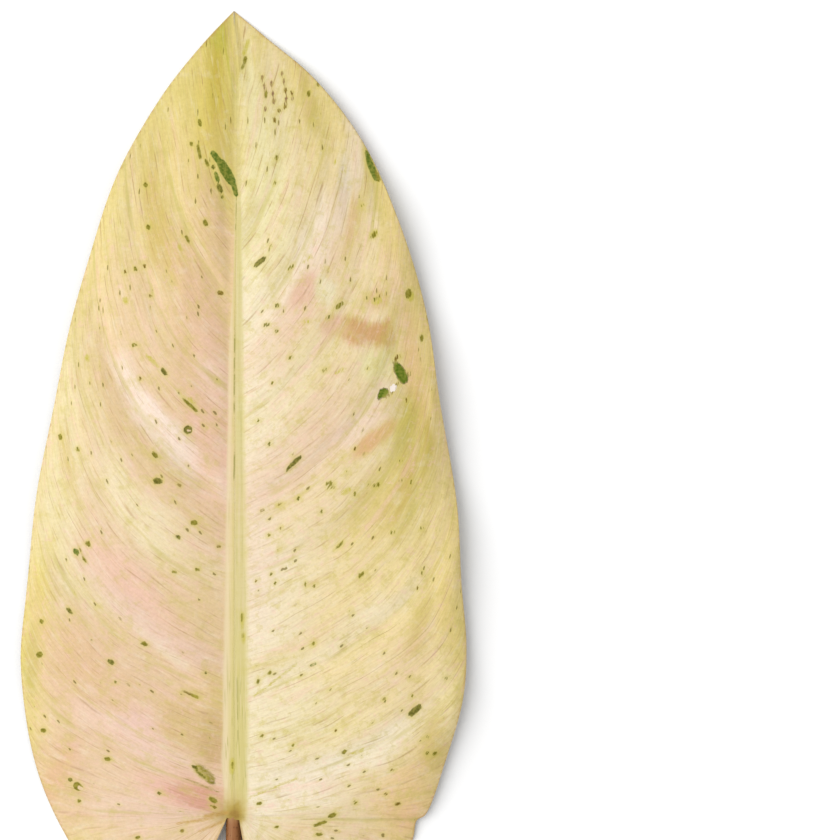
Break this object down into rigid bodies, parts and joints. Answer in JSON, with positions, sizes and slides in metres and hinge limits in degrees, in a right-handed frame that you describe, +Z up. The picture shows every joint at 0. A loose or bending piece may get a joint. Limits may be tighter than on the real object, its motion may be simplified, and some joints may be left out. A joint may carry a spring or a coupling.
{
  "type": "philodendron leaf",
  "caption": "Single picked leaf, long and heart-based, with a cream, yellow and pink waved blade, sunken side veins and a cut brown stalk, lying face up.",
  "frame": {"origin": "middle of the leaf's footprint, on the surface that it lies on", "axes": "+Y along the midrib towards the tip, +X to the right seen from above, +Z up out of the upper face"},
  "size_m": [0.1038, 0.2678, 0.0105],
  "materials": {
    "blade": "satin leaf surface, cream to yellow and pink with green flecks",
    "petiole": "satin brown stalk with darker flecks"
  },
  "bodies": {
    "root": {"blade": "blade", "petiole": "petiole"}
  },
  "joints": []
}
